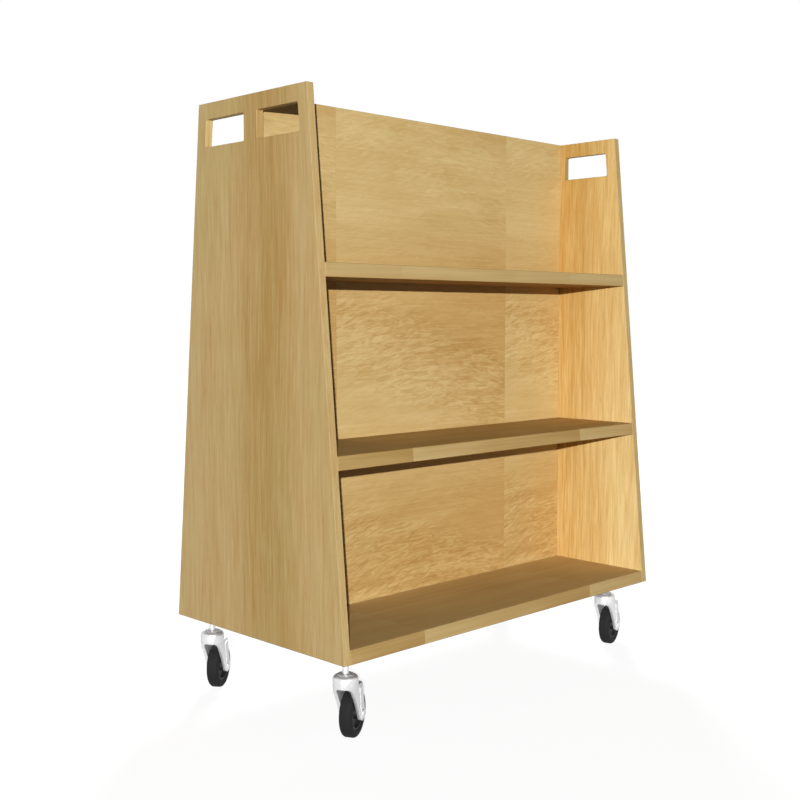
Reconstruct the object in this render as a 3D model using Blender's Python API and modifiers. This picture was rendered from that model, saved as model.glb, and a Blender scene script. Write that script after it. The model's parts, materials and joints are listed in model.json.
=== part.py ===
"""Double-sided wooden book trolley on four swivel casters.

Two sloping end panels carry a central divider and three levels of shelves, all joined with
hidden dowels. The origin is on the floor under the middle of the trolley: +X runs along the
trolley to its right end, -Y is the front and +Z is up.
"""

import math

import bmesh
import bpy
from mathutils import Matrix, Vector

# Boards, in metres
TROLLEY_LENGTH = 0.900
PANEL_HEIGHT = 0.977
PANEL_DEPTH_AT_FOOT = 0.488
PANEL_DEPTH_AT_TOP = 0.309
PANEL_THICKNESS = 0.015
DIVIDER_THICKNESS = 0.015
SHELF_THICKNESS = 0.025
SHELF_PITCH = 0.326
DIVIDER_GROOVE_DEPTH = 0.006
EASED_EDGE = 0.0008
GLUE_LINE = 0.0003

# Hand holes in the end panels
HAND_HOLE_HEIGHT = 0.050
HAND_HOLE_BELOW_TOP = 0.030
HAND_HOLES_APART = 0.038
HAND_HOLE_RIM = 0.0265
HAND_HOLE_CORNER = 0.003

# Dowels between the end panels and the other boards
DOWEL_DIAMETER = 0.008
DOWEL_IN_PANEL = 0.010
DOWEL_IN_BOARD = 0.024
DOWEL_CLEARANCE = 0.0003
SHELF_DOWEL_FROM_EDGE = 0.045
BASE_DOWELS_APART = 0.260
DIVIDER_DOWEL_FROM_END = 0.160

# Caster places, the right pair standing nearer the middle, and the way each caster points at rest
CASTER_FROM_END = 0.046
CASTER_FROM_EDGE = 0.048
RIGHT_PAIR_SET_IN = 0.030
SWIVEL_AT_REST = {
    "front_left": math.radians(28),
    "rear_left": math.radians(35),
    "front_right": math.radians(16),
    "rear_right": math.radians(23),
}
RUNNING_GAP = 0.0003

# Caster stem and the threaded insert that holds it
THREAD_DIAMETER = 0.010
THREAD_LENGTH = 0.018
SHANK_DIAMETER = 0.0115
SHANK_LENGTH = 0.0302
KING_PIN_DIAMETER = 0.009
RIVET_DIAMETER = 0.013
RIVET_HEIGHT = 0.004
INSERT_WALL = 0.002
INSERT_LENGTH = 0.020
INSERT_FLANGE_WIDTH = 0.0035
INSERT_FLANGE_THICKNESS = 0.0015

# Swivel bush
BUSH_FLANGE_DIAMETER = 0.029
BUSH_FLANGE_THICKNESS = 0.0014
BUSH_WALL = 0.004

# Fork: a round crown on an arched yoke with two swept legs, each with a raised rib
CROWN_DIAMETER = 0.0455
CROWN_HEIGHT = 0.0198
CROWN_SHOULDER = 0.0075
FORK_PLATE = 0.0032
FORK_BEND = 0.005
LEG_THICKNESS = 0.0065
YOKE_FRONT = 0.019
YOKE_UNDER_CROWN = 0.0004
YOKE_REAR = 0.033
KNEE_AHEAD_OF_AXLE = 0.029
KNEE_ABOVE_AXLE = 0.033
LEG_END_RADIUS = 0.012
RIB_HEIGHT = 0.0012
RIB_FRONT = 0.017
RIB_EDGE = 0.003
RIB_BELOW_YOKE = 0.007
FORK_TRAIL = 0.034
WHEEL_TOP_GAP = 0.0120
WHEEL_SIDE_GAP = 0.0018
WHEEL_ARCH = 0.0075

# Wheel and axle
WHEEL_DIAMETER = 0.087
WHEEL_WIDTH = 0.023
TYRE_THICKNESS = 0.0135
TREAD_SHOULDER = 0.006
HUB_RIM = 0.004
HUB_RIM_INSET = 0.0015
HUB_WEB = 0.008
HUB_BOSS_DIAMETER = 0.020
AXLE_DIAMETER = 0.008
AXLE_HEAD_DIAMETER = 0.015
AXLE_HEAD_HEIGHT = 0.0025

# Facets
WELD = 0.00001
WHEEL_STEPS = 24
CROWN_STEPS = 20
SMALL_STEPS = 12
DOWEL_STEPS = 10
CORNER_POINTS = 4
SHOULDER_POINTS = 4
SWEEP_POINTS = 6
LEG_END_POINTS = 11
BEND_SEGMENTS = 3
SMOOTH_ANGLE = math.radians(35)

# Levels above the floor, worked out from the sizes above
AXLE_HEIGHT = WHEEL_DIAMETER / 2 * math.cos(math.pi / WHEEL_STEPS)
YOKE_UNDERSIDE = AXLE_HEIGHT + WHEEL_DIAMETER / 2 + WHEEL_TOP_GAP
YOKE_TOP = YOKE_UNDERSIDE + FORK_PLATE
CROWN_TOP = YOKE_TOP + CROWN_HEIGHT
BUSH_TOP = CROWN_TOP + RUNNING_GAP + BUSH_FLANGE_THICKNESS
SHANK_TOP = BUSH_TOP + RUNNING_GAP + SHANK_LENGTH
FOOT = SHANK_TOP + GLUE_LINE
PANEL_TOP = FOOT + PANEL_HEIGHT

# Places across the fork
LEG_INNER = WHEEL_WIDTH / 2 + WHEEL_SIDE_GAP
LEG_OUTER = LEG_INNER + LEG_THICKNESS
RIB_OUTER = LEG_OUTER + RIB_HEIGHT
AXLE_LINE = (FORK_TRAIL, AXLE_HEIGHT)

# Places across the trolley
PANEL_CENTRE_X = (TROLLEY_LENGTH - PANEL_THICKNESS) / 2
PANEL_FACE_X = TROLLEY_LENGTH / 2 - PANEL_THICKNESS
BOARD_LENGTH = 2 * (PANEL_FACE_X - GLUE_LINE)
CASTER_X = TROLLEY_LENGTH / 2 - CASTER_FROM_END
CASTER_Y = {
    "left": PANEL_DEPTH_AT_FOOT / 2 - CASTER_FROM_EDGE,
    "right": PANEL_DEPTH_AT_FOOT / 2 - CASTER_FROM_EDGE - RIGHT_PAIR_SET_IN,
}

# Turns a flat outline so that its first axis runs along Y, its second along Z and its thickness along X
FACING_X = (math.pi / 2, 0, math.pi / 2)

SIDES = {"left": -1, "right": 1}
FACES = {"front": -1, "rear": 1}
LEVELS = {"middle": 1, "top": 2}


def half_depth(height):
    """Half the trolley's depth between its sloping edges, at a height above the floor."""
    share = (height - FOOT) / PANEL_HEIGHT
    return (PANEL_DEPTH_AT_FOOT + share * (PANEL_DEPTH_AT_TOP - PANEL_DEPTH_AT_FOOT)) / 2


def shelf_top(level):
    """Height of a shelf's upper face, with the base board as level 0."""
    return FOOT + SHELF_THICKNESS + level * SHELF_PITCH


def divider_foot():
    """Height of the divider's lower edge, on the floor of the groove in the base board."""
    return shelf_top(0) - DIVIDER_GROOVE_DEPTH + GLUE_LINE


def collection(name):
    """Make a collection in the scene."""
    made = bpy.data.collections.new(name)
    bpy.context.scene.collection.children.link(made)
    return made


def clear_scene():
    """Remove the objects that the scene starts with."""
    for thing in list(bpy.data.objects):
        bpy.data.objects.remove(thing)


def material(name, colour, roughness, metallic=0.0):
    """Make a plain Principled material."""
    made = bpy.data.materials.new(name)
    made.use_nodes = True
    shader = made.node_tree.nodes["Principled BSDF"]
    shader.inputs["Base Color"].default_value = (*colour, 1.0)
    shader.inputs["Roughness"].default_value = roughness
    shader.inputs["Metallic"].default_value = metallic
    return made


def part(name, mesh, finish, location=(0, 0, 0), rotation=(0, 0, 0), parent=None):
    """Place one named sub-part."""
    mesh = mesh if mesh.users == 0 else mesh.copy()
    mesh.materials.clear()
    mesh.materials.append(finish)
    placed = bpy.data.objects.new(name, mesh)
    placed.location = location
    placed.rotation_euler = rotation
    placed.parent = parent
    TROLLEY.objects.link(placed)
    return placed


def cutter(name, mesh, location=(0, 0, 0), rotation=(0, 0, 0)):
    """Place a shape that is only cut away from others."""
    placed = bpy.data.objects.new(name, mesh)
    placed.location = location
    placed.rotation_euler = rotation
    placed.hide_render = True
    placed.display_type = "WIRE"
    CUTTERS.objects.link(placed)
    return placed


def combine(target, tool, operation):
    """Cut one shape from another, or join it on."""
    boolean = target.modifiers.new(tool.name, "BOOLEAN")
    boolean.operation = operation
    boolean.solver = "EXACT"
    boolean.object = tool


def frame_empty(name, location, rotation, parent=None):
    """Place the empty that a moving group hangs on, on its joint's axis."""
    empty = bpy.data.objects.new(name, None)
    empty.location = location
    empty.rotation_euler = rotation
    empty.parent = parent
    TROLLEY.objects.link(empty)
    return empty


def baked(shape):
    """Turn an object with its modifiers into one welded mesh, and remove the object."""
    graph = bpy.context.evaluated_depsgraph_get()
    mesh = bpy.data.meshes.new_from_object(shape.evaluated_get(graph))
    bpy.data.objects.remove(shape)
    faces = bmesh.new()
    faces.from_mesh(mesh)
    bmesh.ops.remove_doubles(faces, verts=faces.verts, dist=WELD)
    bmesh.ops.recalc_face_normals(faces, faces=faces.faces)
    faces.to_mesh(mesh)
    faces.free()
    return mesh


def slab_mesh(name, outline, thickness):
    """A flat piece: a closed outline in the local XY plane, with its thickness centred on Z."""
    curve = bpy.data.curves.new(name, "CURVE")
    curve.dimensions = "2D"
    curve.fill_mode = "BOTH"
    curve.extrude = thickness / 2
    spline = curve.splines.new("POLY")
    spline.points.add(len(outline) - 1)
    spline.use_cyclic_u = True
    for point, (across, up) in zip(spline.points, outline):
        point.co = (across, up, 0, 1)
    flat = bpy.data.objects.new(name, curve)
    CUTTERS.objects.link(flat)
    return baked(flat)


def turned_mesh(name, profile, steps, ring=False):
    """A turned piece: a profile of radius and height, run down its outer side, turned about Z."""
    mesh = bpy.data.meshes.new(name)
    edges = [(start, start + 1) for start in range(len(profile) - 1)]
    if ring:
        edges.append((len(profile) - 1, 0))
    mesh.from_pydata([(radius, 0, height) for radius, height in profile], edges, [])
    turned = bpy.data.objects.new(name, mesh)
    CUTTERS.objects.link(turned)
    screw = turned.modifiers.new("turn", "SCREW")
    screw.steps = steps
    screw.render_steps = steps
    screw.use_merge_vertices = True
    screw.merge_threshold = WELD
    mesh = baked(turned)
    mesh.shade_smooth()
    mesh.set_sharp_from_angle(angle=SMOOTH_ANGLE)
    return mesh


def cylinder_mesh(name, diameter, length, steps):
    """A cylinder along Z, centred on its origin."""
    shape = bmesh.new()
    bmesh.ops.create_cone(
        shape, cap_ends=True, segments=steps, radius1=diameter / 2, radius2=diameter / 2, depth=length
    )
    mesh = bpy.data.meshes.new(name)
    shape.to_mesh(mesh)
    shape.free()
    return mesh


def arc(centre, radius, start, end, count):
    """Points along an arc, both ends included."""
    angles = [start + (end - start) * step / (count - 1) for step in range(count)]
    return [(centre[0] + radius * math.cos(a), centre[1] + radius * math.sin(a)) for a in angles]


def rounded_outline(corners, radius):
    """A closed outline with an arc of the given radius in each corner."""
    outline = []
    for index, corner in enumerate(corners):
        corner = Vector(corner)
        before = (Vector(corners[index - 1]) - corner).normalized()
        after = (Vector(corners[(index + 1) % len(corners)]) - corner).normalized()
        half_angle = before.angle(after) / 2
        centre = corner + (before + after).normalized() * radius / math.sin(half_angle)
        touch = corner + before * radius / math.tan(half_angle) - centre
        start = math.atan2(touch.y, touch.x)
        turn = math.copysign(math.pi - 2 * half_angle, before.cross(after) * -1)
        outline += arc(centre, radius, start, start + turn, CORNER_POINTS)
    return outline


def tangent_angle(point, centre, radius, turn):
    """Angle on a circle where the line from an outside point touches it."""
    away = Vector(point) - Vector(centre)
    return math.atan2(away.y, away.x) + turn * math.acos(radius / away.length)


def board(name, outline, length, centre_x, finish, cut_outs=()):
    """A board whose outline lies in the YZ plane and whose length or thickness runs along X."""
    made = part(name, slab_mesh(name, outline, length), finish, (centre_x, 0, 0), FACING_X)
    for cut_out in cut_outs:
        combine(made, cut_out, "DIFFERENCE")
    ease = made.modifiers.new("eased edges", "BEVEL")
    ease.width = EASED_EDGE
    ease.segments = 1
    ease.limit_method = "ANGLE"
    return made


def hand_hole(name, face, centre_x):
    """Cutter for one hand hole, on the front or rear half of an end panel."""
    top = PANEL_TOP - HAND_HOLE_BELOW_TOP
    bottom = top - HAND_HOLE_HEIGHT
    inner = face * HAND_HOLES_APART / 2
    corners = [
        (inner, bottom),
        (face * (half_depth(bottom) - HAND_HOLE_RIM), bottom),
        (face * (half_depth(top) - HAND_HOLE_RIM), top),
        (inner, top),
    ]
    mesh = slab_mesh(name, rounded_outline(corners, HAND_HOLE_CORNER), 2 * PANEL_THICKNESS)
    return cutter(name, mesh, (centre_x, 0, 0), FACING_X)


def end_panels():
    """The two sloping end panels, each with two hand holes."""
    outline = [
        (-half_depth(FOOT), FOOT),
        (half_depth(FOOT), FOOT),
        (half_depth(PANEL_TOP), PANEL_TOP),
        (-half_depth(PANEL_TOP), PANEL_TOP),
    ]
    panels = {}
    for side, sign in SIDES.items():
        centre_x = sign * PANEL_CENTRE_X
        holes = [hand_hole(f"{side}_{name}_hand_hole", face, centre_x) for name, face in FACES.items()]
        panels[side] = board(f"{side}_end_panel", outline, PANEL_THICKNESS, centre_x, VENEER, holes)
    return panels


def divider_panel():
    """The upright board that parts the front shelves from the rear ones."""
    foot = divider_foot()
    face = DIVIDER_THICKNESS / 2
    outline = [(-face, foot), (face, foot), (face, PANEL_TOP), (-face, PANEL_TOP)]
    return board("divider_panel", outline, BOARD_LENGTH, 0, DIVIDER_VENEER)


def base_shelf():
    """The bottom board, which carries the casters and has a groove that the divider stands in."""
    top = shelf_top(0)
    groove = DIVIDER_THICKNESS / 2 + GLUE_LINE
    groove_floor = top - DIVIDER_GROOVE_DEPTH
    outline = [
        (-half_depth(FOOT), FOOT),
        (half_depth(FOOT), FOOT),
        (half_depth(top), top),
        (groove, top),
        (groove, groove_floor),
        (-groove, groove_floor),
        (-groove, top),
        (-half_depth(top), top),
    ]
    return board("base_shelf", outline, BOARD_LENGTH, 0, SHELF_VENEER)


def shelf(face_name, level_name):
    """One shelf on one side of the divider, its outer edge flush with the sloping panels."""
    face = FACES[face_name]
    top = shelf_top(LEVELS[level_name])
    bottom = top - SHELF_THICKNESS
    inner = face * (DIVIDER_THICKNESS / 2 + GLUE_LINE)
    outline = [
        (inner, bottom),
        (face * half_depth(bottom), bottom),
        (face * half_depth(top), top),
        (inner, top),
    ]
    return board(f"{face_name}_{level_name}_shelf", outline, BOARD_LENGTH, 0, SHELF_VENEER)


def dowels(panels, joined, places):
    """Dowels from both end panels into one board, with their holes, at places of depth and height."""
    length = DOWEL_IN_PANEL + DOWEL_IN_BOARD
    along_x = (0, math.pi / 2, 0)
    for side, sign in SIDES.items():
        centre_x = sign * (PANEL_FACE_X + (DOWEL_IN_PANEL - DOWEL_IN_BOARD) / 2)
        for place, (across, height) in places.items():
            name = f"{joined.name}_{side}_{place}_dowel"
            middle = (centre_x, across, height)
            pin = cylinder_mesh(name, DOWEL_DIAMETER, length, DOWEL_STEPS)
            part(name, pin, BEECH, middle, along_x)
            hole = cylinder_mesh(
                f"{name}_hole",
                DOWEL_DIAMETER + 2 * DOWEL_CLEARANCE,
                length + 2 * DOWEL_CLEARANCE,
                DOWEL_STEPS,
            )
            drill = cutter(f"{name}_hole", hole, middle, along_x)
            combine(panels[side], drill, "DIFFERENCE")
            combine(joined, drill, "DIFFERENCE")


def shelf_dowel_places(face_name, level_name):
    """Where a shelf's dowels sit: near its outer edge and near the divider."""
    face = FACES[face_name]
    height = shelf_top(LEVELS[level_name]) - SHELF_THICKNESS / 2
    outer = face * (half_depth(height) - SHELF_DOWEL_FROM_EDGE)
    inner = face * (DIVIDER_THICKNESS / 2 + GLUE_LINE + SHELF_DOWEL_FROM_EDGE)
    return {"outer": (outer, height), "inner": (inner, height)}


def base_dowel_places():
    """Where the base board's dowels sit, clear of the caster stems."""
    height = shelf_top(0) - SHELF_THICKNESS / 2
    return {name: (face * BASE_DOWELS_APART / 2, height) for name, face in FACES.items()}


def divider_dowel_places():
    """Where the divider's dowels sit, near its foot and near its top."""
    low = divider_foot() + DIVIDER_DOWEL_FROM_END
    high = PANEL_TOP - DIVIDER_DOWEL_FROM_END
    return {"lower": (0, low), "upper": (0, high)}


def insert_profile(clearance):
    """Outer side of the threaded insert, top to bottom, grown by a clearance."""
    body = THREAD_DIAMETER / 2 + RUNNING_GAP + INSERT_WALL + clearance
    flange = body + INSERT_FLANGE_WIDTH
    top = FOOT + INSERT_LENGTH + clearance
    step = FOOT + INSERT_FLANGE_THICKNESS + clearance
    return [(body, top), (body, step), (flange, step), (flange, FOOT - clearance)]


def insert_mesh():
    """Threaded insert, sunk flush into the underside of the base board."""
    bore = THREAD_DIAMETER / 2 + RUNNING_GAP
    profile = [(bore, FOOT + INSERT_LENGTH)] + insert_profile(0) + [(bore, FOOT)]
    return turned_mesh("stem_insert", profile, SMALL_STEPS, ring=True)


def insert_hole_mesh():
    """Stepped hole in the base board that the insert sits in."""
    profile = insert_profile(GLUE_LINE)
    top = profile[0][1]
    bottom = profile[-1][1]
    return turned_mesh("insert_hole", [(0, top)] + profile + [(0, bottom)], SMALL_STEPS)


def stem_mesh():
    """Caster stem: thread, plain shank, king pin and the riveted end under the yoke."""
    thread = THREAD_DIAMETER / 2
    shank = SHANK_DIAMETER / 2
    pin = KING_PIN_DIAMETER / 2
    rivet = RIVET_DIAMETER / 2
    shank_foot = SHANK_TOP - SHANK_LENGTH
    rivet_top = YOKE_UNDERSIDE - RUNNING_GAP
    rivet_foot = rivet_top - RIVET_HEIGHT
    profile = [
        (0, SHANK_TOP + THREAD_LENGTH),
        (thread, SHANK_TOP + THREAD_LENGTH),
        (thread, SHANK_TOP),
        (shank, SHANK_TOP),
        (shank, shank_foot),
        (pin, shank_foot),
        (pin, rivet_top),
        (rivet, rivet_top),
        (pin, rivet_foot),
        (0, rivet_foot),
    ]
    return turned_mesh("caster_stem", profile, SMALL_STEPS)


def bush_mesh():
    """Flanged bush that the fork swivels on, between the crown and the king pin."""
    bore = KING_PIN_DIAMETER / 2 + RUNNING_GAP
    sleeve = bore + BUSH_WALL
    flange = BUSH_FLANGE_DIAMETER / 2
    seat = CROWN_TOP + RUNNING_GAP
    foot = YOKE_TOP + FORK_PLATE / 2 + RUNNING_GAP
    outside = [(flange, BUSH_TOP), (flange, seat), (sleeve, seat), (sleeve, foot)]
    profile = [(bore, BUSH_TOP)] + outside + [(bore, foot)]
    return turned_mesh("swivel_bush", profile, SMALL_STEPS, ring=True)


def crown_mesh():
    """Round hollow crown of the fork, with a rounded shoulder and a floor sunk into the yoke."""
    outer = CROWN_DIAMETER / 2
    mouth = KING_PIN_DIAMETER / 2 + RUNNING_GAP + BUSH_WALL + RUNNING_GAP
    floor = YOKE_TOP - FORK_PLATE / 2
    shoulder = (outer - CROWN_SHOULDER, CROWN_TOP - CROWN_SHOULDER)
    hollow = [
        (0, floor + FORK_PLATE),
        (outer - FORK_PLATE, floor + FORK_PLATE),
        (outer - FORK_PLATE, shoulder[1]),
        (shoulder[0], CROWN_TOP - FORK_PLATE),
        (mouth, CROWN_TOP - FORK_PLATE),
        (mouth, CROWN_TOP),
    ]
    outside = arc(shoulder, CROWN_SHOULDER, math.pi / 2, 0, SHOULDER_POINTS) + [(outer, floor), (0, floor)]
    return turned_mesh("crown", hollow + outside, CROWN_STEPS)


def leg_end(front, rear, radius):
    """Round end about the axle that the lines from a point in front and a point behind run into."""
    start = tangent_angle(front, AXLE_LINE, radius, 1)
    stop = tangent_angle(rear, AXLE_LINE, radius, -1) + 2 * math.pi
    return arc(AXLE_LINE, radius, start, stop, LEG_END_POINTS)


def leg_outline():
    """Side view of the yoke: a swept front edge, a round end about the axle and a straight rear edge."""
    front = Vector((-YOKE_FRONT, YOKE_TOP))
    rear = (YOKE_REAR, YOKE_TOP)
    knee = Vector((FORK_TRAIL - KNEE_AHEAD_OF_AXLE, AXLE_HEIGHT + KNEE_ABOVE_AXLE))
    end = leg_end(knee, rear, LEG_END_RADIUS)
    sweep = []
    for step in range(SWEEP_POINTS):
        share = step / SWEEP_POINTS
        over = front.lerp(knee, share)
        under = knee.lerp(Vector(end[0]), share)
        sweep.append(tuple(over.lerp(under, share)))
    return sweep + end + [rear]


def rib_outline():
    """Side view of the raised rib that stiffens each leg, from under the yoke's bend to the axle."""
    top = YOKE_TOP - RIB_BELOW_YOKE
    front = (RIB_FRONT, top)
    rear = (YOKE_REAR - RIB_EDGE, top)
    return [front] + leg_end(front, rear, LEG_END_RADIUS - RIB_EDGE) + [rear]


def side_slab(name, outline, half_width):
    """A solid across the fork, with its outline seen from the side."""
    mesh = slab_mesh(name, outline, 2 * half_width)
    mesh.transform(Matrix.Rotation(math.pi / 2, 4, "X"))
    return mesh


def wheel_slot():
    """Cutter for the arched space between the legs that the wheel runs in."""
    reach = YOKE_FRONT + FORK_TRAIL + YOKE_REAR + LEG_END_RADIUS
    corner = (LEG_INNER - WHEEL_ARCH, YOKE_UNDERSIDE - WHEEL_ARCH)
    half = [(LEG_INNER, -reach)] + arc(corner, WHEEL_ARCH, 0, math.pi / 2, CORNER_POINTS)
    outline = half + [(-across, up) for across, up in reversed(half)]
    return cutter("wheel_slot", slab_mesh("wheel_slot", outline, 2 * reach), rotation=FACING_X)


def yoke_trim():
    """Cutter that rounds the yoke's front to follow the crown, seen from above."""
    radius = CROWN_DIAMETER / 2 - YOKE_UNDER_CROWN
    reach = CROWN_DIAMETER
    front = arc((0, 0), radius, math.pi / 2, 3 * math.pi / 2, CROWN_STEPS // 2 + 1)
    outline = front + [(0, -reach), (-reach, -reach), (-reach, reach), (0, reach)]
    return cutter("yoke_trim", slab_mesh("yoke_trim", outline, 2 * CROWN_TOP))


def fork_mesh():
    """Cast fork: the yoke arched over the wheel, the crown joined on top, and its bored holes."""
    mesh = side_slab("yoke", leg_outline(), LEG_OUTER)
    round_yoke_bends(mesh)
    yoke = bpy.data.objects.new("yoke", mesh)
    CUTTERS.objects.link(yoke)
    pin_bore = cylinder_mesh("pin_bore", KING_PIN_DIAMETER + 2 * RUNNING_GAP, 4 * FORK_PLATE, SMALL_STEPS)
    axle_bore = cylinder_mesh("axle_bore", AXLE_DIAMETER + 2 * RUNNING_GAP, 4 * RIB_OUTER, SMALL_STEPS)
    axle_line = (FORK_TRAIL, 0, AXLE_HEIGHT)
    combine(yoke, yoke_trim(), "DIFFERENCE")
    combine(yoke, cutter("leg_ribs", side_slab("leg_ribs", rib_outline(), RIB_OUTER)), "UNION")
    combine(yoke, cutter("crown", crown_mesh()), "UNION")
    combine(yoke, wheel_slot(), "DIFFERENCE")
    combine(yoke, cutter("pin_bore", pin_bore, (0, 0, YOKE_TOP)), "DIFFERENCE")
    combine(yoke, cutter("axle_bore", axle_bore, axle_line, (math.pi / 2, 0, 0)), "DIFFERENCE")
    mesh = baked(yoke)
    mesh.shade_smooth()
    mesh.set_sharp_from_angle(angle=SMOOTH_ANGLE)
    return mesh


def round_yoke_bends(mesh):
    """Round the two long bends where the yoke's top turns down into its legs."""
    shape = bmesh.new()
    shape.from_mesh(mesh)
    bends = []
    for edge in shape.edges:
        start, end = (vertex.co for vertex in edge.verts)
        along_top = min(start.z, end.z) > YOKE_TOP - WELD and abs(start.y - end.y) < WELD
        on_side = abs(start.y) > WELD and len(edge.link_faces) == 2
        if along_top and on_side and edge.calc_face_angle() > SMOOTH_ANGLE:
            bends.append(edge)
    bmesh.ops.bevel(shape, geom=bends, offset=FORK_BEND, segments=BEND_SEGMENTS, affect="EDGES")
    shape.to_mesh(mesh)
    shape.free()


def axle_mesh():
    """Riveted axle with a low domed head outside each leg, about its own Z."""
    shaft = AXLE_DIAMETER / 2
    head = AXLE_HEAD_DIAMETER / 2
    seat = RIB_OUTER + RUNNING_GAP
    rim = seat + AXLE_HEAD_HEIGHT / 2
    end = seat + AXLE_HEAD_HEIGHT
    half = [(0, end), (shaft, end), (head, rim), (head, seat), (shaft, seat)]
    profile = half + [(radius, -height) for radius, height in reversed(half)]
    return turned_mesh("axle", profile, SMALL_STEPS)


def hub_mesh():
    """Wheel hub: a boss that fills the fork, a thin web and a rim, about its own Z."""
    bore = AXLE_DIAMETER / 2 + RUNNING_GAP
    boss = HUB_BOSS_DIAMETER / 2
    boss_half = LEG_INNER - RUNNING_GAP
    rim = WHEEL_DIAMETER / 2 - TYRE_THICKNESS - GLUE_LINE
    rim_half = WHEEL_WIDTH / 2 - HUB_RIM_INSET
    web_half = HUB_WEB / 2
    half = [
        (bore, boss_half),
        (boss, boss_half),
        (boss, web_half),
        (rim - HUB_RIM, web_half),
        (rim - HUB_RIM, rim_half),
        (rim, rim_half),
    ]
    profile = half + [(radius, -height) for radius, height in reversed(half)]
    return turned_mesh("hub", profile, WHEEL_STEPS, ring=True)


def tyre_mesh():
    """Tyre with rounded shoulders, about its own Z."""
    inner = WHEEL_DIAMETER / 2 - TYRE_THICKNESS
    half_width = WHEEL_WIDTH / 2
    shoulder = (WHEEL_DIAMETER / 2 - TREAD_SHOULDER, half_width - TREAD_SHOULDER)
    half = [(inner, half_width)] + arc(shoulder, TREAD_SHOULDER, math.pi / 2, 0, SHOULDER_POINTS)
    profile = half + [(radius, -height) for radius, height in reversed(half)]
    return turned_mesh("tyre", profile, WHEEL_STEPS, ring=True)


def casters(base):
    """Four swivel casters, each held by a threaded insert in the base board."""
    shapes = {
        "stem_insert": insert_mesh(),
        "caster_stem": stem_mesh(),
        "swivel_bush": bush_mesh(),
        "caster_fork": fork_mesh(),
        "wheel_axle": axle_mesh(),
        "wheel_hub": hub_mesh(),
        "tyre": tyre_mesh(),
    }
    on_facet = (0, 0, math.pi / WHEEL_STEPS)
    for name, angle in SWIVEL_AT_REST.items():
        face_name, side_name = name.split("_")
        place = (SIDES[side_name] * CASTER_X, FACES[face_name] * CASTER_Y[side_name], 0)
        swivel = frame_empty(f"{name}_swivel_line", place, (0, 0, angle))
        axle_line = frame_empty(
            f"{name}_axle_line", (FORK_TRAIL, 0, AXLE_HEIGHT), (math.pi / 2, 0, 0), swivel
        )
        combine(base, cutter(f"{name}_insert_hole", insert_hole_mesh(), place), "DIFFERENCE")
        part(f"{name}_stem_insert", shapes["stem_insert"], BRASS, place)
        part(f"{name}_caster_stem", shapes["caster_stem"], ZINC, place)
        part(f"{name}_swivel_bush", shapes["swivel_bush"], BUSH_STEEL, parent=swivel)
        part(f"{name}_caster_fork", shapes["caster_fork"], ZINC, parent=swivel)
        part(f"{name}_wheel_axle", shapes["wheel_axle"], ZINC, parent=axle_line)
        part(f"{name}_wheel_hub", shapes["wheel_hub"], HUB_PLASTIC, rotation=on_facet, parent=axle_line)
        part(f"{name}_tyre", shapes["tyre"], RUBBER, rotation=on_facet, parent=axle_line)


def build():
    """Make every sub-part in its place."""
    panels = end_panels()
    base = base_shelf()
    dowels(panels, base, base_dowel_places())
    dowels(panels, divider_panel(), divider_dowel_places())
    for face_name in FACES:
        for level_name in LEVELS:
            dowels(panels, shelf(face_name, level_name), shelf_dowel_places(face_name, level_name))
    casters(base)


clear_scene()
TROLLEY = collection("book_trolley")
CUTTERS = collection("cutters")
VENEER = material("end_panel_veneer", (0.48, 0.33, 0.135), 0.45)
DIVIDER_VENEER = material("divider_veneer", (0.58, 0.40, 0.175), 0.45)
SHELF_VENEER = material("shelf_veneer", (0.50, 0.36, 0.15), 0.45)
BEECH = material("beech_dowel", (0.55, 0.38, 0.20), 0.7)
BRASS = material("plated_insert", (0.62, 0.52, 0.30), 0.4, 1.0)
ZINC = material("bright_zinc", (0.80, 0.81, 0.82), 0.25, 1.0)
BUSH_STEEL = material("grey_bush", (0.25, 0.26, 0.27), 0.4, 0.8)
HUB_PLASTIC = material("dark_hub", (0.035, 0.035, 0.037), 0.5)
RUBBER = material("black_rubber", (0.02, 0.02, 0.02), 0.75)
build()
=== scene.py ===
"""Book trolley: veneered boards on zinc-plated swivel casters, in a plain white studio."""

import json
import math

import bmesh
import bpy
from mathutils import Matrix, Vector


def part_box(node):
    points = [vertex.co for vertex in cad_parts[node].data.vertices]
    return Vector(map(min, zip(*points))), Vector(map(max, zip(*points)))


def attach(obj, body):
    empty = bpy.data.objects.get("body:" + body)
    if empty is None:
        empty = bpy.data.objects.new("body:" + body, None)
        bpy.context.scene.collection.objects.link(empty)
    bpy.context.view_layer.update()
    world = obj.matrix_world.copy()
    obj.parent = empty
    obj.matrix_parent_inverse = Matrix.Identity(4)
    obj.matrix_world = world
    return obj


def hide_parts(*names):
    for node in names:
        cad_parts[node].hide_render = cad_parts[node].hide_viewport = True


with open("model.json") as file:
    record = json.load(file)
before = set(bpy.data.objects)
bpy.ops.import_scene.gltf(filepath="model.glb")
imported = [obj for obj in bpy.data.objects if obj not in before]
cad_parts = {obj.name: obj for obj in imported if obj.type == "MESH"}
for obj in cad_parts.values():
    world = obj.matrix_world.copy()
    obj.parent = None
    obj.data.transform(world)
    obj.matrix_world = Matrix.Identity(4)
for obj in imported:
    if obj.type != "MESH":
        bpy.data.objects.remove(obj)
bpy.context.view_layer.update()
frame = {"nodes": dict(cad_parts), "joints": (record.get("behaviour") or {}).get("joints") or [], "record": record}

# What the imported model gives: each joint by the body that it carries, and two heights in metres
JOINTS = {row["child"]: row for row in frame["joints"]}
AXLE_HEIGHT = JOINTS["front_left_wheel"]["pos_m"][2]
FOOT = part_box("base_shelf")[0].z

# Camera, in metres and radians, in the trolley's own frame
CAMERA_PLACE = Vector((-1.717119, -1.655226, 0.739488))
CAMERA_YAW = 0.78072
CAMERA_PITCH = 0.0721
SENSOR_WIDTH = 36.0
LENS = 51.9777

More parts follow.
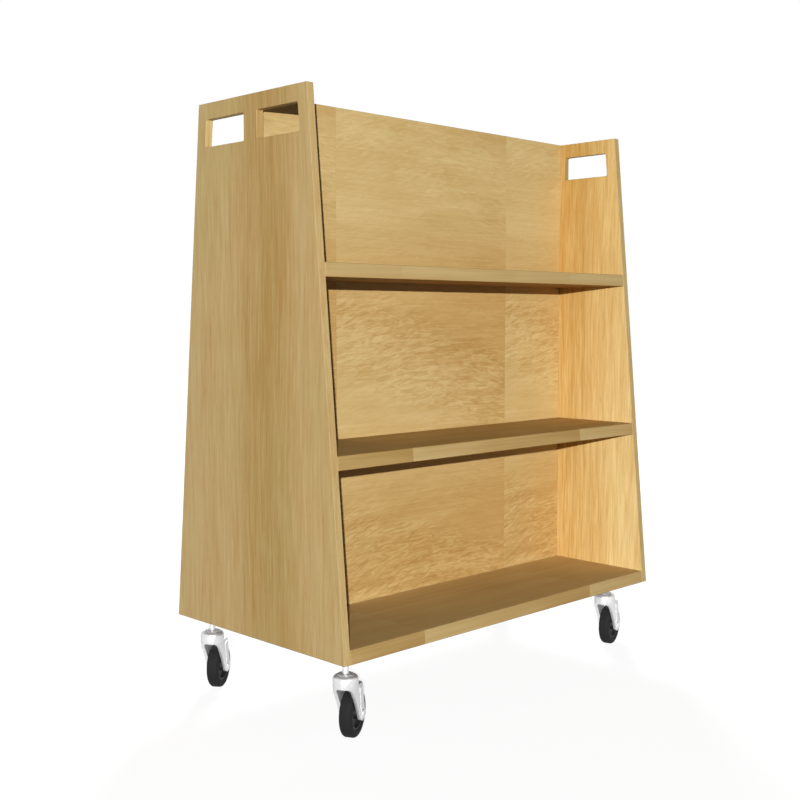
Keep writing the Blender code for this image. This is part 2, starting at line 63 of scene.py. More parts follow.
# Lamps: a key over the camera's shoulder, and a softer one from behind for the far sides
KEY_PLACE = (-2.385, -2.329, 1.004)
KEY_POWER = 51.0
KEY_RADIUS = 0.012
BACK_PLACE = (2.4, 2.4, 2.1)
BACK_POWER = 39.0
BACK_RADIUS = 0.5
AMBIENT = 0.015
WHITE = (1.0, 1.0, 1.0, 1.0)

# Floor: its reach, the tone that throws light back, and the white that the eye sees near and far
FLOOR_REACH = 30.0
FLOOR_LEVEL = -0.0005
FLOOR_COLOUR = 0.18
FLOOR_WHITE_NEAR = 0.885
FLOOR_WHITE_FAR = 1.0
FLOOR_NEAR = 1.0
FLOOR_FAR = 3.0

# Casters, in metres: which there are, the running gap between pieces and how far the axle trails the stem
CASTERS = ("front_left", "rear_left", "front_right", "rear_right")
GAP = 0.0003
FORK_TRAIL = 0.034

# Fork: front, rear and knee lie that far behind the stem, inner and outer that far from the middle
FORK_PLATE = 0.0032
YOKE_ABOVE_AXLE = 0.0555
YOKE_UNDERSIDE = AXLE_HEIGHT + YOKE_ABOVE_AXLE
YOKE_TOP = YOKE_UNDERSIDE + FORK_PLATE
YOKE_FRONT = -0.019
YOKE_REAR = 0.033
YOKE_BEND = 0.005
YOKE_UNDER_CROWN = 0.0004
KNEE_BACK = 0.005
KNEE_ABOVE_AXLE = 0.033
LEG_INNER = 0.0133
LEG_OUTER = 0.0198
LEG_END_RADIUS = 0.012
WHEEL_ARCH = 0.0075
RIB_OUTER = 0.0210
RIB_FRONT = 0.017
RIB_EDGE = 0.003
RIB_BELOW_YOKE = 0.007
CROWN_HEIGHT = 0.0198
CROWN_TOP = YOKE_TOP + CROWN_HEIGHT
CROWN_RADIUS = 0.02275
CROWN_SHOULDER = 0.0075

# Stem, bush and insert
PIN_RADIUS = 0.0045
RIVET_RADIUS = 0.0065
RIVET_HEIGHT = 0.004
RIVET_TAPER = 0.0012
BUSH_WALL = 0.004
BUSH_SLEEVE = PIN_RADIUS + GAP + BUSH_WALL
BUSH_FLANGE = 0.0145
BUSH_FLANGE_THICKNESS = 0.0014
BUSH_SEAT = CROWN_TOP + GAP
BUSH_TOP = BUSH_SEAT + BUSH_FLANGE_THICKNESS
SHANK_RADIUS = 0.00575
SHANK_FOOT = BUSH_TOP + GAP
SHANK_TOP = FOOT - GAP
THREAD_RADIUS = 0.005
THREAD_LENGTH = 0.018
INSERT_RADIUS = 0.0073
INSERT_LENGTH = 0.020
INSERT_FLANGE = 0.0108
INSERT_FLANGE_THICKNESS = 0.0015

# Axle and wheel
AXLE_RADIUS = 0.004
AXLE_HEAD_RADIUS = 0.0075
AXLE_HEAD_HEIGHT = 0.0025
WHEEL_RADIUS = AXLE_HEIGHT
WHEEL_HALF = 0.0115
TYRE_INNER = 0.030
TYRE_LIP_WIDTH = 0.002
TYRE_LIP_DROP = 0.0006
TREAD_SHOULDER = 0.006
MOULD_LINE_HALF = 0.0003
MOULD_LINE_DEPTH = 0.0002
MOULD_LINE_FLOOR = 0.0001
HUB_RIM_OUTER = TYRE_INNER - GAP
HUB_RIM_THICKNESS = 0.004
HUB_RIM_INNER = HUB_RIM_OUTER - HUB_RIM_THICKNESS
HUB_RIM_SET_IN = 0.0015
HUB_RIM_HALF = WHEEL_HALF - HUB_RIM_SET_IN
HUB_WEB_HALF = 0.004
HUB_BOSS_RADIUS = 0.010
HUB_BOSS_HALF = LEG_INNER - GAP
HUB_DRAFT = 0.001
HUB_EDGE = 0.0008
ON_AXLE = Matrix.Translation((FORK_TRAIL, 0, AXLE_HEIGHT)) @ Matrix.Rotation(math.pi / 2, 4, "X")

# How finely the caster pieces are made
TURN_STEPS = 72
ROUND_POINTS = 9
TREAD_POINTS = 11
LEG_END_POINTS = 25
TRIM_POINTS = 37
SWEEP_STEPS = 16
BEND_SEGMENTS = 7
SOFT_EDGE = 0.0004
SOFT_SEGMENTS = 2
HARD_ANGLE = math.radians(50)
NEARLY_STRAIGHT = math.radians(150)
SMOOTH_ANGLE = math.radians(32)
CUTTER_REACH = 0.1
CUT_WELD = 0.00025
TINY = 0.00001
MERGE = 0.000002
PLACE_DIGITS = 7

# Veneer: its sheen, roughness and relief, the width of one leaf and the place of a seam along the trolley
VENEER_SHEEN = 0.08
VENEER_ROUGHNESS = (0.5, 0.62)
RELIEF_DEPTH = 0.0003
LEAF_WIDTH = 0.496
LEAF_SEAM = 0.241

# End panels: the darker heart, the drift of the grain, the inner faces, partly brightened by painted light, with
# their paler foot, and the pores
PANEL_HEART = -0.022
PANEL_HEART_WIDTH = 0.15
GRAIN_DRIFT = 0.035
INNER_FACE = -0.2
PALER_BELOW = 0.25
PLAIN_ABOVE = 0.95
PALER_FOOT = (1.10, 1.16, 1.28, 1.0)
PORE_COLOUR = (0.25, 0.14, 0.045, 1.0)

# Divider: heights in metres of the ripple and the honey tone, their slant, bow and repeat, and a calmer top
RIPPLE_HEIGHT = 0.715
RIPPLE_PERIOD = 0.43
RIPPLE_SLANT = 0.30
RIPPLE_CREST = 0.33
RIPPLE_BOW = 0.43
RIPPLE_CALM_FROM = 0.80
RIPPLE_CALM_TO = 0.88
HONEY_HEIGHT = 0.80
HONEY_SLANT = 0.10
DIVIDER_SEAM = (0.42, 0.26, 0.10, 1.0)

# Shelves: heights in metres between which the edges change and the upper faces darken with painted shade, and
# their tints, among them the painted shade of the higher upper faces and of the undersides
EDGE_LOW = 0.5
EDGE_HIGH = 0.8
UPPER_LOW = 0.2
UPPER_HIGH = 0.5
HIGH_SHELF_SHADE = (0.84, 0.76, 0.63, 1.0)
UNDERSIDE_SHADE = (0.68, 0.45, 0.22, 1.0)
SHELF_SEAM = (0.33, 0.21, 0.08, 1.0)

# Plated metal: how much darker its clouds are
METAL_CLOUD = 0.86


class Graph:
    """A node material and the short calls that build it."""

    def __init__(self, name):
        self.material = bpy.data.materials.new(name)
        self.material.use_nodes = True
        self.tree = self.material.node_tree
        self.shader = self.tree.nodes["Principled BSDF"]
        self.coordinates = self.add("TexCoord").outputs

    def add(self, kind, inputs=None, **settings):
        """Add a node with its settings, and with values or links for its inputs."""
        made = self.tree.nodes.new("ShaderNode" + kind)
        for name, value in settings.items():
            setattr(made, name, value)
        for key, value in (inputs or {}).items():
            self.feed(made.inputs[key], value)
        return made

    def feed(self, socket, value):
        """Link a socket, or set its value."""
        if isinstance(value, bpy.types.NodeSocket):
            self.tree.links.new(value, socket)
        else:
            socket.default_value = value

    def shade(self, **inputs):
        """Set or link the shader's inputs, with spaces written as underscores."""
        for name, value in inputs.items():
            self.feed(self.shader.inputs[name.replace("_", " ")], value)

    def split(self, coordinate):
        """The three parts of a texture coordinate, such as Object or Normal."""
        return self.add("SeparateXYZ", {0: self.coordinates[coordinate]}).outputs

    def join(self, first, second, third):
        """A place from its three parts."""
        return self.add("CombineXYZ", {0: first, 1: second, 2: third}).outputs[0]

    def math(self, operation, first, second=0.0, third=0.0):
        """One step of arithmetic."""
        return self.add("Math", {0: first, 1: second, 2: third}, operation=operation).outputs[0]

    def mix(self, share, first, second, blend="MIX"):
        """Blend two colours."""
        inputs = {0: share, 6: first, 7: second}
        return self.add("Mix", inputs, data_type="RGBA", blend_type=blend).outputs[2]

    def spread(self, value, low, shaded_high_tops, new_low=0.0, new_high=1.0):
        """Map a range of values smoothly onto another."""
        inputs = {"Value": value, "From Min": low, "From Max": shaded_high_tops, "To Min": new_low, "To Max": new_high}
        return self.add("MapRange", inputs, interpolation_type="SMOOTHSTEP").outputs[0]

    def noise(self, place, scale, detail=2.0, roughness=0.5, distortion=0.0):
        """Soft noise, stretched by its three scales."""
        stretched = self.add("Mapping", {"Vector": place, "Scale": scale}).outputs[0]
        inputs = {"Vector": stretched, "Scale": 1.0, "Detail": detail}
        inputs.update({"Roughness": roughness, "Distortion": distortion})
        return self.add("TexNoise", inputs).outputs[0]

    def weighted(self, *layers):
        """Sum of values, each about its middle and times its weight, about one half."""
        total = 0.5
        for value, weight in layers:
            centred = self.math("SUBTRACT", value, 0.5)
            total = self.math("MULTIPLY_ADD", centred, weight, total)
        return total

    def ramp(self, value, *stops):
        """Colours along a value, each given as its place and colour."""
        made = self.add("ValToRGB", {0: value})
        points = made.color_ramp.elements
        while len(points) < len(stops):
            points.new(1.0)
        for point, (place, colour) in zip(points, stops):
            point.position = place
            point.color = (*colour, 1.0)
        return made.outputs[0]

    def tones(self, value, dark, middle, light):
        """A veneer's colours from its dark to its light grain."""
        return self.ramp(value, (0.1, dark), (0.5, middle), (0.9, light))

    def bump(self, height, strength):
        """A bumped normal of fine relief."""
        inputs = {"Height": height, "Strength": strength, "Distance": RELIEF_DEPTH}
        return self.add("Bump", inputs).outputs[0]


def in_leaf(graph, along):
    """Place along its own veneer leaf."""
    return graph.math("FLOORED_MODULO", graph.math("SUBTRACT", along, LEAF_SEAM), LEAF_WIDTH)


def leaf_seam(graph, within, width, strength):
    """Share of the darker line where two leaves meet, with its half width as a share of the leaf."""
    from_middle = graph.math("SUBTRACT", graph.math("DIVIDE", within, LEAF_WIDTH), 0.5)
    return graph.spread(graph.math("ABSOLUTE", from_middle), 0.5 - width, 0.5, 0.0, strength)


def swell(graph, height, middle, period):
    """A wave that is highest at one height and again after each period."""
    turns = graph.math("DIVIDE", graph.math("SUBTRACT", height, middle), period)
    return graph.math("COSINE", graph.math("MULTIPLY", turns, 2 * math.pi))


def veneered(graph, colour, lines, relief, strength):
    """The finished veneer: its colour, a low sheen, and roughness and relief along the grain."""
    graph.shade(
        Base_Color=colour,
        Roughness=graph.spread(lines, 0.2, 0.8, *VENEER_ROUGHNESS),
        Specular_IOR_Level=VENEER_SHEEN,
        Normal=graph.bump(relief, strength),
    )
    return graph.material


def panel_veneer():
    """Straight upright grain of the end panels, with soft bands and fine lines, warmer and brighter on the inside:
    partly a warmer veneer, partly painted light.
    """
    graph = Graph("end_panel_veneer")
    out, across, along = graph.split("Object")
    drift = graph.noise(graph.join(along, across, out), (1.6, 4.0, 4.0), 1.0)
    bent = graph.math("MULTIPLY_ADD", drift, GRAIN_DRIFT, across)
    place = graph.join(along, bent, out)
    from_heart = graph.math("ABSOLUTE", graph.math("SUBTRACT", bent, PANEL_HEART))
    heart = graph.spread(from_heart, 0.0, PANEL_HEART_WIDTH)
    bands = graph.noise(place, (0.6, 9.0, 9.0), 1.0)
    growth = graph.noise(place, (4.5, 75.0, 75.0), 3.0, 0.6, 0.3)
    lines = graph.noise(place, (13.0, 270.0, 270.0), 2.0)
    tone = graph.weighted((heart, 0.4), (bands, 0.45), (growth, 0.85), (lines, 0.95))
    warm = graph.noise(place, (1.5, 5.0, 5.0), 2.0)
    yellow = graph.tones(tone, (0.426, 0.274, 0.087), (0.503, 0.355, 0.141), (0.569, 0.439, 0.199))
    rosy = graph.tones(tone, (0.449, 0.259, 0.084), (0.520, 0.340, 0.137), (0.585, 0.423, 0.194))
    # The inner faces get a brighter, more orange copy of the veneer: partly a warmer tint, partly painted light
    # that makes them brighter than the outer faces.
    orange_lit_tones = graph.tones(tone, (0.464, 0.254, 0.063), (0.568, 0.364, 0.128), (0.672, 0.484, 0.202))
    outer = graph.mix(graph.spread(warm, 0.38, 0.62), yellow, rosy)
    paler = graph.spread(along, PALER_BELOW, PLAIN_ABOVE, 1.0, 0.0)
    inner = graph.mix(paler, orange_lit_tones, PALER_FOOT, "MULTIPLY")
    away_from_middle = graph.math("MULTIPLY", graph.split("Normal")[0], out)
    faces_middle = graph.math("LESS_THAN", away_from_middle, INNER_FACE)
    colour = graph.mix(faces_middle, outer, inner)
    pores = graph.spread(graph.noise(place, (34.0, 1100.0, 1100.0), 1.0), 0.62, 0.74)
    colour = graph.mix(graph.math("MULTIPLY", pores, 0.35), colour, PORE_COLOUR)
    return veneered(graph, colour, lines, graph.math("SUBTRACT", lines, pores), 0.12)


def divider_veneer():
    """Figured veneer of the divider: leaves side by side, grain along them, ripple in slanting bands."""
    graph = Graph("divider_veneer")
    along, out, across = graph.split("Object")
    within = in_leaf(graph, along)
    place = graph.join(within, across, out)
    aside = graph.math("SUBTRACT", within, RIPPLE_CREST)
    bow = graph.math("MULTIPLY", graph.math("MULTIPLY", aside, aside), RIPPLE_BOW)
    bowed = graph.join(within, graph.math("ADD", across, bow), out)
    ripple = graph.noise(bowed, (26.0, 125.0, 36.0), 2.0, 0.55, 1.3)
    streaks = graph.noise(place, (7.0, 420.0, 420.0), 2.0)
    wave = graph.noise(place, (3.0, 26.0, 26.0), 2.0, 0.5, 0.6)
    blotch = graph.noise(place, (5.0, 7.0, 7.0), 2.0)
    slanted = graph.math("MULTIPLY_ADD", within, RIPPLE_SLANT, across)
    band = swell(graph, slanted, RIPPLE_HEIGHT, RIPPLE_PERIOD)
    most = graph.spread(across, RIPPLE_CALM_FROM, RIPPLE_CALM_TO, 1.0, 0.5)
    zone = graph.spread(graph.math("MULTIPLY_ADD", blotch, 1.2, band), 0.45, 1.25, 0.3, most)
    ripple = graph.math("MULTIPLY_ADD", graph.math("SUBTRACT", ripple, 0.5), zone, 0.5)
    tone = graph.weighted((ripple, 1.85), (streaks, 0.6), (wave, 0.65), (blotch, 0.5))
    slanted = graph.math("MULTIPLY_ADD", within, HONEY_SLANT, across)
    band = swell(graph, slanted, HONEY_HEIGHT, LEAF_WIDTH)
    share = graph.math("MULTIPLY_ADD", across, -0.45, 0.55)
    share = graph.math("MULTIPLY_ADD", band, 0.34, share)
    share = graph.math("ADD", within, share)
    share = graph.math("MULTIPLY_ADD", graph.math("SUBTRACT", blotch, 0.5), 0.6, share)
    pale = graph.tones(tone, (0.520, 0.345, 0.125), (0.598, 0.428, 0.182), (0.675, 0.520, 0.248))
    honey = graph.tones(tone, (0.429, 0.241, 0.073), (0.514, 0.321, 0.114), (0.595, 0.409, 0.165))
    colour = graph.mix(graph.spread(share, 0.0, 1.0), pale, honey)
    colour = graph.mix(leaf_seam(graph, within, 0.0018, 0.3), colour, DIVIDER_SEAM)
    return veneered(graph, colour, streaks, streaks, 0.08)


def shelf_veneer():
    """Veneer of the shelves and the base, with the grain along, lengths of slightly different tone, and painted
    shade on the undersides and on the upper faces of the higher shelves.
    """
    graph = Graph("shelf_veneer")
    along, across, height = graph.split("Object")
    within = in_leaf(graph, along)
    place = graph.join(within, across, height)
    bands = graph.noise(place, (0.8, 13.0, 13.0), 1.0)
    growth = graph.noise(place, (2.0, 70.0, 70.0), 3.0, 0.55, 0.3)
    lines = graph.noise(place, (5.0, 360.0, 360.0), 2.0)
    patches = graph.noise(place, (7.0, 9.0, 30.0), 1.0)
    tone = graph.weighted((bands, 0.6), (growth, 0.8), (lines, 0.65), (patches, 0.6))
    looks = graph.split("Normal")
    edge = graph.math("GREATER_THAN", graph.math("ABSOLUTE", looks[1]), 0.5)
    upper = graph.math("GREATER_THAN", looks[2], 0.5)
    shaded_under = graph.math("LESS_THAN", looks[2], -0.5)
    leaf = graph.math("SUBTRACT", 0.5, graph.math("DIVIDE", within, LEAF_WIDTH))
    fade = graph.math("MULTIPLY", edge, graph.spread(height, EDGE_LOW, EDGE_HIGH, 0.8, 0.15))
    tone = graph.math("MULTIPLY_ADD", leaf, fade, tone)
    tone = graph.math("MULTIPLY_ADD", edge, graph.spread(height, EDGE_LOW, EDGE_HIGH, 0.05, 0.3), tone)
    colour = graph.ramp(
        tone, (0.1, (0.405, 0.250, 0.084)), (0.6, (0.485, 0.326, 0.127)), (1.0, (0.555, 0.400, 0.178)),
    )
    # Painted shade: the upper faces darken from the base up to the higher shelves.
    shaded_high_tops = graph.math("MULTIPLY", upper, graph.spread(height, UPPER_LOW, UPPER_HIGH))
    colour = graph.mix(shaded_high_tops, colour, HIGH_SHELF_SHADE, "MULTIPLY")
    colour = graph.mix(leaf_seam(graph, within, 0.0015, 0.35), colour, SHELF_SEAM)
    # Painted shade: the undersides of the shelves and the base are darkened.
    colour = graph.mix(shaded_under, colour, UNDERSIDE_SHADE, "MULTIPLY")
    return veneered(graph, colour, lines, lines, 0.1)


def plain_metal(name, colour, roughness, spots, metallic):
    """Plated metal with a faint cloudiness in its colour, gloss and relief."""
    graph = Graph(name)
    cloud = graph.noise(graph.coordinates["Object"], (spots, spots, spots), 3.0)
    cloudy = tuple(METAL_CLOUD * part for part in colour)
    graph.shade(
        Base_Color=graph.ramp(cloud, (0.3, cloudy), (0.7, colour)),
        Metallic=metallic,
        Roughness=graph.spread(cloud, 0.3, 0.7, roughness, roughness + 0.12),
        Normal=graph.bump(cloud, 0.03),
    )
    return graph.material


def dull(name, dark, light, roughness, spots, gloss=0.3):
    """Matt plastic, rubber or raw wood with a fine mottle."""
    graph = Graph(name)
    mottle = graph.noise(graph.coordinates["Object"], (spots, spots, spots), 3.0)
    graph.shade(
        Base_Color=graph.ramp(mottle, (0.3, dark), (0.7, light)),
        Roughness=graph.spread(mottle, 0.3, 0.7, roughness, roughness + 0.15),
        Specular_IOR_Level=gloss,
        Normal=graph.bump(mottle, 0.1),
    )
    return graph.material


def finish_nodes():
    """Give every sub-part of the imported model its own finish."""
    finishes = {
        "end_panel_veneer": panel_veneer(),
        "divider_veneer": divider_veneer(),
        "shelf_veneer": shelf_veneer(),
        "dowel_beech": dull("dowel_beech", (0.45, 0.29, 0.14), (0.58, 0.40, 0.21), 0.65, 220.0),
        "insert_plating": plain_metal("insert_plating", (0.70, 0.58, 0.34), 0.3, 180.0, 1.0),
        "caster_zinc": plain_metal("caster_zinc", (0.82, 0.823, 0.828), 0.34, 140.0, 0.65),
        "bush_steel": plain_metal("bush_steel", (0.60, 0.605, 0.61), 0.4, 180.0, 0.4),
        "hub_plastic": dull("hub_plastic", (0.007, 0.007, 0.008), (0.012, 0.012, 0.013), 0.5, 300.0),
        "tyre_rubber": dull("tyre_rubber", (0.013, 0.013, 0.013), (0.019, 0.019, 0.019), 0.7, 350.0, 0.15),
    }
    for row in frame["record"]["subparts"]:
        node = frame["nodes"][row["node"]]
        node.data.materials.clear()
        node.data.materials.append(finishes[row["material_slot"]])
    return finishes


def added(name, data):
    """A new object in the scene."""
    made = bpy.data.objects.new(name, data)
    bpy.context.scene.collection.objects.link(made)
    return made


def mesh_from(shape, name):
    """Turn a worked shape into a smooth mesh with its hard edges kept."""
    bmesh.ops.remove_doubles(shape, verts=shape.verts, dist=MERGE)
    bmesh.ops.recalc_face_normals(shape, faces=shape.faces)
    mesh = bpy.data.meshes.new(name)
    shape.to_mesh(mesh)
    shape.free()
    mesh.shade_smooth()
    mesh.set_sharp_from_angle(angle=SMOOTH_ANGLE)
    return mesh


def arc(centre, radius, start, end, count=ROUND_POINTS):
    """Points along an arc, both ends included."""
    angles = [start + (end - start) * step / (count - 1) for step in range(count)]
    return [(centre[0] + radius * math.cos(a), centre[1] + radius * math.sin(a)) for a in angles]


def eased(profile, closed=False, width=SOFT_EDGE):
    """A profile with its corners cut back a little, so that they catch the light."""
    soft = []
    for index, point in enumerate(profile):
        corner = Vector(point)
        at_end = not closed and index in (0, len(profile) - 1)
        before = Vector(profile[index - 1]) - corner
        after = Vector(profile[(index + 1) % len(profile)]) - corner
        if at_end or before.angle(after) > NEARLY_STRAIGHT:
            soft.append(point)
            continue
        for side in (before, after):
            soft.append(tuple(corner + side.normalized() * min(width, side.length / 3)))
    return soft


def turned(name, profile, closed=False):
    """A turned shape: a profile of radius and height, swept about Z."""
    shape = bmesh.new()
    points = [shape.verts.new((radius, 0, height)) for radius, height in profile]
    lines = [shape.edges.new(pair) for pair in zip(points, points[1:])]
    if closed:
        lines.append(shape.edges.new((points[-1], points[0])))
    bmesh.ops.spin(
        shape, geom=points + lines, cent=(0, 0, 0), axis=(0, 0, 1), angle=2 * math.pi, steps=TURN_STEPS,
        use_merge=True,
    )
    return mesh_from(shape, name)


def mirrored(half):
    """A profile and its mirror image below the middle."""
    return half + [(radius, -height) for radius, height in reversed(half)]


def slab(name, outline, half_width):
    """A flat shape across the fork, with its outline seen from the side."""
    shape = bmesh.new()
    face = shape.faces.new([shape.verts.new((along, -half_width, up)) for along, up in outline])
    grown = bmesh.ops.extrude_face_region(shape, geom=[face])["geom"]
    moved = [part for part in grown if isinstance(part, bmesh.types.BMVert)]
    bmesh.ops.translate(shape, verts=moved, vec=(0, 2 * half_width, 0))
    return mesh_from(shape, name)


def rod(name, radius, half_length):
    """A plain cutter along Z."""
    return turned(name, [(0, half_length), (radius, half_length), (radius, -half_length), (0, -half_length)])


def in_order(mesh):
    """A shape with a mesh's points and faces in a fixed order, because cutting leaves them in any order."""
    places = [tuple(round(part, PLACE_DIGITS) for part in point.co) for point in mesh.vertices]
    ordered = sorted(set(places))
    number = {place: index for index, place in enumerate(ordered)}
    rings = []
    for face in mesh.polygons:
        ring = [number[places[corner]] for corner in face.vertices]
        ring = [corner for corner, after in zip(ring, ring[1:] + ring[:1]) if corner != after]
        if len(ring) > 2:
            first = ring.index(min(ring))
            rings.append(ring[first:] + ring[:first])
    shape = bmesh.new()
    points = [shape.verts.new(place) for place in ordered]
    for ring in sorted(rings):
        shape.faces.new([points[index] for index in ring])
    return shape


def worked(name, mesh, steps):
    """A mesh with others joined on or cut away, given as (operation, mesh, matrix), with softened edges."""
    target = added(name, mesh)
    tools = []
    for operation, tool_mesh, matrix in steps:
        tool = added("tool", tool_mesh)
        tool.matrix_world = matrix
        boolean = target.modifiers.new("cut", "BOOLEAN")
        boolean.operation = operation
        boolean.solver = "MANIFOLD"
        boolean.object = tool
        tools.append(tool)
    evaluated = target.evaluated_get(bpy.context.evaluated_depsgraph_get())
    done = bpy.data.meshes.new_from_object(evaluated)
    for thing in [target] + tools:
        bpy.data.objects.remove(thing)
    shape = in_order(done)
    bmesh.ops.remove_doubles(shape, verts=shape.verts, dist=CUT_WELD)
    bmesh.ops.dissolve_degenerate(shape, edges=shape.edges, dist=TINY)
    bmesh.ops.recalc_face_normals(shape, faces=shape.faces)
    hard = [edge for edge in shape.edges if edge.calc_face_angle(0.0) > HARD_ANGLE]
    bmesh.ops.bevel(
        shape, geom=hard, offset=SOFT_EDGE, segments=SOFT_SEGMENTS, affect="EDGES", profile=0.5,
        clamp_overlap=True,
    )
    return mesh_from(shape, name)


def tangent(point, radius, turn):
    """Angle about the axle where the line from an outside point touches a circle."""
    away = Vector(point) - Vector((FORK_TRAIL, AXLE_HEIGHT))
    return math.atan2(away.y, away.x) + turn * math.acos(radius / away.length)


def leg_end(front, rear, radius):
    """Round end about the axle between the lines from a point in front and a point behind."""
    start = tangent(front, radius, 1)
    stop = tangent(rear, radius, -1) + 2 * math.pi
    return arc((FORK_TRAIL, AXLE_HEIGHT), radius, start, stop, LEG_END_POINTS)


def runs_along_top(edge):
    """Whether an edge lies on top of the yoke and runs from front to rear."""
    one, other = (point.co for point in edge.verts)
    return min(one.z, other.z) > YOKE_TOP - TINY and abs(one.y - other.y) < TINY


def yoke_mesh():
    """Yoke and legs in one: a swept front, round leg ends and rounded bends along the top."""
    knee = Vector((KNEE_BACK, AXLE_HEIGHT + KNEE_ABOVE_AXLE))
    front = Vector((YOKE_FRONT, YOKE_TOP))
    rear = (YOKE_REAR, YOKE_TOP)
    end = leg_end(knee, rear, LEG_END_RADIUS)
    foot = Vector(end[0])
    sweep = []
    for step in range(SWEEP_STEPS):
        share = step / SWEEP_STEPS
        sweep.append(tuple(front.lerp(knee, share).lerp(knee.lerp(foot, share), share)))
    shape = bmesh.new()
    shape.from_mesh(slab("yoke", sweep + end + [rear], LEG_OUTER))
    bends = [edge for edge in shape.edges if runs_along_top(edge)]
    bmesh.ops.bevel(shape, geom=bends, offset=YOKE_BEND, segments=BEND_SEGMENTS, affect="EDGES", profile=0.5)
    return mesh_from(shape, "yoke")


def rib_mesh():
    """The raised rib of both legs."""
    top = YOKE_TOP - RIB_BELOW_YOKE
    front = (RIB_FRONT, top)
    rear = (YOKE_REAR - RIB_EDGE, top)
    return slab("rib", [front] + leg_end(front, rear, LEG_END_RADIUS - RIB_EDGE) + [rear], RIB_OUTER)


def crown_mesh():
    """Hollow round crown with a rounded shoulder, sunk half a plate into the yoke."""
    floor = YOKE_TOP - FORK_PLATE / 2
    inside = floor + FORK_PLATE
    wall = CROWN_RADIUS - FORK_PLATE
    ceiling = CROWN_TOP - FORK_PLATE
    mouth = BUSH_SLEEVE + GAP
    shoulder = (CROWN_RADIUS - CROWN_SHOULDER, CROWN_TOP - CROWN_SHOULDER)
    hollow = [(0, inside), (wall, inside), (wall, shoulder[1]), (shoulder[0], ceiling), (mouth, ceiling)]
    outside = [(mouth, CROWN_TOP)] + arc(shoulder, CROWN_SHOULDER, math.pi / 2, 0)
    return turned("crown", hollow + outside + [(CROWN_RADIUS, floor), (0, floor)])


def slot_mesh():
    """Cutter for the arched opening that the wheel turns in, seen from the front."""
    corner = (LEG_INNER - WHEEL_ARCH, YOKE_UNDERSIDE - WHEEL_ARCH)
    half = [(LEG_INNER, -CUTTER_REACH)] + arc(corner, WHEEL_ARCH, 0, math.pi / 2)
    return slab("slot", half + [(-side, up) for side, up in reversed(half)], CUTTER_REACH)


def trim_mesh():
    """Cutter that rounds the yoke's front under the crown, seen from above."""
    reach = CUTTER_REACH
    front = arc((0, 0), CROWN_RADIUS - YOKE_UNDER_CROWN, math.pi / 2, 3 * math.pi / 2, TRIM_POINTS)
    return slab("trim", front + [(0, -reach), (-reach, -reach), (-reach, reach), (0, reach)], CROWN_TOP)


def fork_mesh():
    """Cast fork: a yoke arched over the wheel, a round crown, a rib on each leg and the bored holes."""
    still = Matrix.Identity(4)
    half_step = Matrix.Rotation(math.pi / TURN_STEPS, 4, "Z")
    pin_bore = rod("pin_bore", PIN_RADIUS + GAP, 2 * FORK_PLATE)
    axle_bore = rod("axle_bore", AXLE_RADIUS + GAP, 2 * RIB_OUTER)
    return worked("fork", yoke_mesh(), [
        ("DIFFERENCE", trim_mesh(), Matrix.Rotation(-math.pi / 2, 4, "X")),
        ("UNION", rib_mesh(), still),
        ("UNION", crown_mesh(), still),
        ("DIFFERENCE", slot_mesh(), Matrix.Rotation(math.pi / 2, 4, "Z")),
        ("DIFFERENCE", pin_bore, Matrix.Translation((0, 0, YOKE_TOP)) @ half_step),
        ("DIFFERENCE", axle_bore, ON_AXLE),
    ])


def stem_mesh():
    """Stem: thread, shank, king pin and riveted end."""
    thread_top = SHANK_TOP + THREAD_LENGTH
    rivet_top = YOKE_UNDERSIDE - GAP
    rivet_foot = rivet_top - RIVET_HEIGHT
    return turned("stem", eased([
        (0, thread_top),
        (THREAD_RADIUS, thread_top),
        (THREAD_RADIUS, SHANK_TOP),
        (SHANK_RADIUS, SHANK_TOP),
        (SHANK_RADIUS, SHANK_FOOT),
        (PIN_RADIUS, SHANK_FOOT),
        (PIN_RADIUS, rivet_top),
        (RIVET_RADIUS, rivet_top),
        (RIVET_RADIUS - RIVET_TAPER, rivet_top - RIVET_HEIGHT / 2),
        (PIN_RADIUS, rivet_foot),
        (0, rivet_foot),
    ]))


def bush_mesh():
    """Flanged bush on the king pin."""
    bore = PIN_RADIUS + GAP
    foot = YOKE_TOP + FORK_PLATE / 2 + GAP
    return turned("bush", eased([
        (bore, BUSH_TOP),
        (BUSH_FLANGE, BUSH_TOP),
        (BUSH_FLANGE, BUSH_SEAT),
        (BUSH_SLEEVE, BUSH_SEAT),
        (BUSH_SLEEVE, foot),
        (bore, foot),
    ], True), True)


def insert_mesh():
    """Threaded insert, flush with the underside of the base board."""
    bore = THREAD_RADIUS + GAP
    top = FOOT + INSERT_LENGTH
    step = FOOT + INSERT_FLANGE_THICKNESS
    return turned("insert", eased([
        (bore, top),
        (INSERT_RADIUS, top),
        (INSERT_RADIUS, step),
        (INSERT_FLANGE, step),
        (INSERT_FLANGE, FOOT),
        (bore, FOOT),
    ], True), True)


def axle_mesh():
    """Axle with a low domed rivet head outside each leg."""
    seat = RIB_OUTER + GAP
    dome = arc((0, 0), 1.0, math.pi / 2, 0)
    head = [(AXLE_HEAD_RADIUS * across, seat + AXLE_HEAD_HEIGHT * up) for across, up in dome]
    return turned("axle", mirrored(head + [(AXLE_RADIUS, seat)]))


def hub_mesh():
    """Hub: a boss that fills the fork, a thin web and a rim."""
    half = [
        (AXLE_RADIUS + GAP, HUB_BOSS_HALF),
        (HUB_BOSS_RADIUS, HUB_BOSS_HALF),
        (HUB_BOSS_RADIUS + HUB_DRAFT, HUB_WEB_HALF),
        (HUB_RIM_INNER - HUB_DRAFT, HUB_WEB_HALF),
        (HUB_RIM_INNER, HUB_RIM_HALF),
        (HUB_RIM_OUTER, HUB_RIM_HALF),
    ]
    return turned("hub", eased(mirrored(half), True, HUB_EDGE), True)


